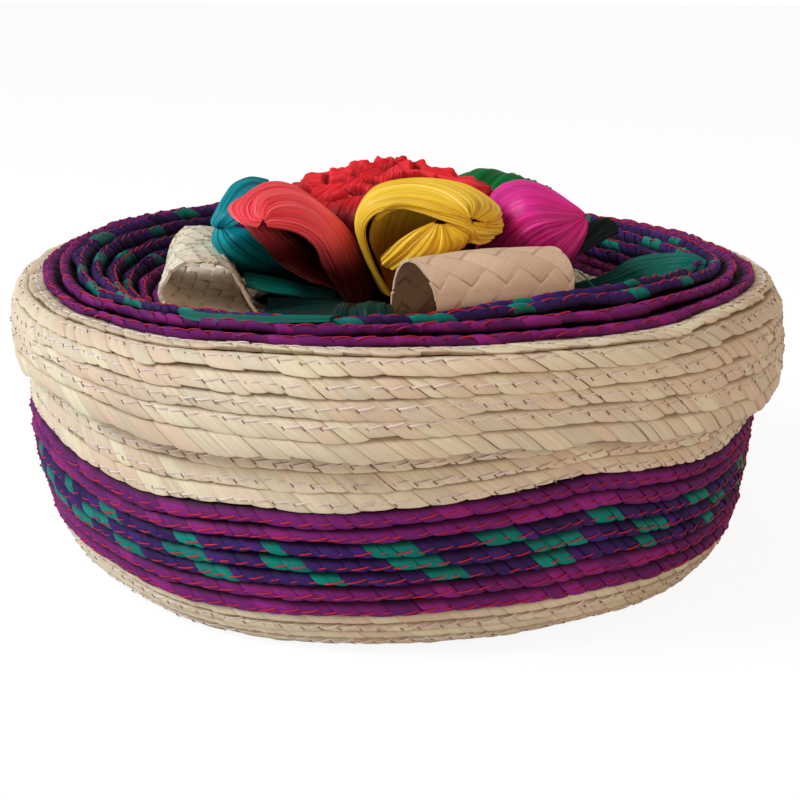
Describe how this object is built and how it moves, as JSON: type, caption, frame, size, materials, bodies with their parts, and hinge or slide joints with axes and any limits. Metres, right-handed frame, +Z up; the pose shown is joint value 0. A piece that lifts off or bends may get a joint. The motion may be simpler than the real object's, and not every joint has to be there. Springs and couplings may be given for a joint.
{
  "type": "lidded palm basket",
  "caption": "Round lidded basket of sewn palm braid, with dyed bands and a palm-strip flower, loops and leaves on its dished lid.",
  "frame": {"origin": "centre of the flat underside of the basket", "axes": "+Z up through the lid, -Y towards the picture's viewer, +X to the viewer's right"},
  "size_m": [0.2512, 0.2512, 0.1276],
  "materials": {
    "natural_palm": "undyed palm strip, plaited and sewn, satin",
    "magenta_palm": "magenta-purple dyed palm strip, sewn with red thread",
    "violet_palm": "dark violet dyed palm strip with teal strands here and there, sewn with red thread",
    "red_palm": "deep red dyed palm strip, ruffled",
    "coral_palm": "coral red dyed palm strip, pleated",
    "yellow_palm": "yellow dyed palm strip, pleated",
    "orange_palm": "orange dyed palm strip, pleated",
    "pink_palm": "bright magenta dyed palm strip, pleated",
    "green_palm": "green dyed palm strip, pleated",
    "blue_palm": "teal-blue dyed palm strip, pleated",
    "leaf_palm": "teal-green dyed palm leaf, pleated"
  },
  "bodies": {
    "basket": {"body_base_braid": "natural_palm", "body_lower_magenta_braid": "magenta_palm", "body_violet_braid": "violet_palm", "body_upper_magenta_braid": "magenta_palm", "body_upper_natural_braid": "natural_palm"},
    "lid": {"lid_skirt_braid": "natural_palm", "lid_outer_magenta_braid": "magenta_palm", "lid_violet_braid": "violet_palm", "lid_inner_magenta_braid": "magenta_palm", "lid_centre_braid": "natural_palm", "ornament_core": "natural_palm", "red_flower": "red_palm", "front_yellow_loop": "yellow_palm", "right_magenta_loop": "pink_palm", "back_right_green_loop": "green_palm", "back_loop": "orange_palm", "back_left_loop": "pink_palm", "left_teal_loop": "blue_palm", "front_left_coral_loop": "coral_palm", "front_woven_band": "natural_palm", "left_woven_band": "natural_palm", "back_woven_band": "natural_palm", "right_leaf": "leaf_palm", "back_right_leaf": "leaf_palm", "back_left_leaf": "leaf_palm", "rear_leaf": "leaf_palm", "left_leaf": "leaf_palm", "front_left_leaf": "leaf_palm", "front_leaf": "leaf_palm"}
  },
  "joints": [
    {"name": "lid_lift", "type": "slide", "parent": "basket", "child": "lid", "axis": [0, 0, 1], "range_m": [0, 0.1]}
  ]
}
